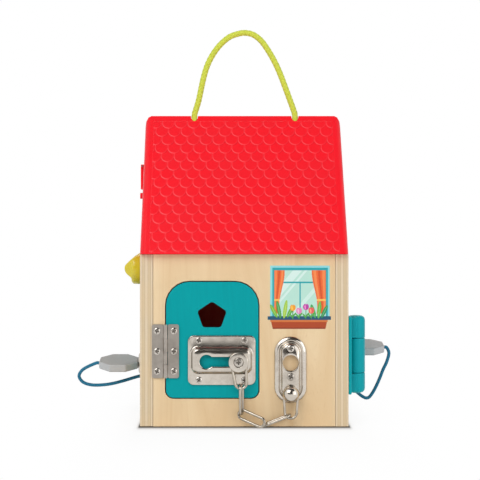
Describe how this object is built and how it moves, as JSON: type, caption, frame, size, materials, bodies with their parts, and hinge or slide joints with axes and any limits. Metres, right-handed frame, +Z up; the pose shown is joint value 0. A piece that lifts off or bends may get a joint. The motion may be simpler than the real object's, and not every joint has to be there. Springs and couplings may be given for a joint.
{
  "type": "activity house",
  "caption": "Wooden activity house with a red roof, rope handle, hinged doors, key locks, chain latch and turn latch.",
  "frame": {"origin": "centre of the footprint on the underside of the floor panel", "axes": "+Z up, front with the chain latch towards -Y, +X to the right seen from the front"},
  "size_m": [0.3144, 0.1865, 0.3821],
  "materials": {
    "plywood": "clear matt",
    "red_shell": "satin",
    "teal_paint": "painted satin",
    "teal_plastic": "satin",
    "lime_plastic": "gloss",
    "lime_rope": "braided",
    "blue_cord": "braided",
    "key_grey": "satin",
    "steel": "brushed",
    "nickel": "nickel plated"
  },
  "bodies": {
    "house": {"left_wall": "plywood", "right_wall": "plywood", "front_panel": "plywood", "back_panel": "plywood", "floor_panel": "plywood", "roof_shell": "red_shell", "rope_handle": "lime_rope", "rope_knot_left": "lime_rope", "rope_knot_right": "lime_rope", "hatch_pin": "steel", "front_hinge_fixed": "steel", "front_hinge_pin": "steel", "front_hinge_screw_1": "steel", "front_hinge_screw_2": "steel", "front_hinge_screw_3": "steel", "door_stop": "plywood", "anchor_plate": "nickel", "anchor_screw_1": "steel", "anchor_screw_2": "steel", "ball_stud": "nickel", "left_hinge_fixed": "steel", "left_hinge_pin": "steel", "right_hinge_fixed": "teal_plastic", "right_hinge_pin": "steel"},
    "front_door_leaf": {"front_door": "teal_paint", "front_hinge_door": "steel", "front_hinge_screw_4": "steel", "front_hinge_screw_5": "steel", "front_hinge_screw_6": "steel", "track_plate": "nickel", "track_screw_1": "steel", "track_screw_2": "steel", "track_screw_3": "steel", "track_screw_4": "steel"},
    "knob": {"chain_knob": "nickel"},
    "link_1": {"chain_link_1": "steel"},
    "link_2": {"chain_link_2": "steel"},
    "link_3": {"chain_link_3": "steel"},
    "link_4": {"chain_link_4": "steel"},
    "link_5": {"chain_link_5": "steel"},
    "left_door_leaf": {"left_door": "teal_paint", "left_hinge_door": "steel", "left_rose": "nickel", "left_key_cord": "blue_cord", "left_cord_grommet": "blue_cord"},
    "left_lock_core": {"left_key": "key_grey", "left_cylinder": "steel", "left_cam": "steel"},
    "right_door_leaf": {"right_door": "teal_paint", "right_hinge_door": "teal_plastic", "right_rose": "nickel", "right_key_cord": "blue_cord", "right_cord_grommet": "blue_cord"},
    "right_lock_core": {"right_key": "key_grey", "right_cylinder": "steel", "right_cam": "steel"},
    "latch": {"turn_latch": "lime_plastic"},
    "hatch": {"gable_hatch": "red_shell"}
  },
  "joints": [
    {"name": "front_door_hinge", "type": "hinge", "parent": "house", "child": "front_door_leaf", "pos_m": [-0.0732, -0.08465, 0.07], "axis": [0, 0, -1], "range_deg": [0, 110]},
    {"name": "knob_slide", "type": "slide", "parent": "front_door_leaf", "child": "knob", "axis": [-1, 0, 0], "range_m": [0, 0.0296]},
    {"name": "link_1_swing", "type": "hinge", "parent": "knob", "child": "link_1", "pos_m": [-0.0054, -0.0891, 0.0605], "axis": [0, -1, 0], "range_deg": [0, 5.5]},
    {"name": "link_2_swing", "type": "hinge", "parent": "link_1", "child": "link_2", "pos_m": [-0.00263, -0.0891, 0.03602], "axis": [-1, 0, 0], "range_deg": [0, 15]},
    {"name": "link_3_swing", "type": "hinge", "parent": "link_2", "child": "link_3", "pos_m": [-0.00263, -0.0891, 0.01252], "axis": [0, -1, 0], "range_deg": [0, 15]},
    {"name": "link_5_swing", "type": "hinge", "parent": "house", "child": "link_5", "pos_m": [0.043, -0.0896, 0.031], "axis": [0, 1, 0], "range_deg": [0, 7]},
    {"name": "link_4_swing", "type": "hinge", "parent": "link_5", "child": "link_4", "pos_m": [0.04245, -0.0896, 0.0119], "axis": [0, 1, 0], "range_deg": [0, 15]},
    {"name": "left_door_hinge", "type": "hinge", "parent": "house", "child": "left_door_leaf", "pos_m": [-0.09915, 0.05, 0.07], "axis": [0, 0, -1], "range_deg": [0, 110]},
    {"name": "left_key_turn", "type": "hinge", "parent": "left_door_leaf", "child": "left_lock_core", "pos_m": [-0.097, -0.0025, 0.0505], "axis": [1, 0, 0], "range_deg": [0, 90]},
    {"name": "right_door_hinge", "type": "hinge", "parent": "house", "child": "right_door_leaf", "pos_m": [0.1059, -0.0625, 0.07], "axis": [0, 0, -1], "range_deg": [0, 110]},
    {"name": "right_key_turn", "type": "hinge", "parent": "right_door_leaf", "child": "right_lock_core", "pos_m": [0.097, 0.0175, 0.0644], "axis": [-1, 0, 0], "range_deg": [0, 90]},
    {"name": "turn_latch_turn", "type": "hinge", "parent": "house", "child": "latch", "pos_m": [-0.097, -0.0025, 0.1446], "axis": [-1, 0, 0], "range_deg": [0, 90]},
    {"name": "gable_hatch_hinge", "type": "hinge", "parent": "house", "child": "hatch", "pos_m": [-0.09915, 0, 0.2457], "axis": [0, 1, 0], "range_deg": [0, 100]}
  ]
}
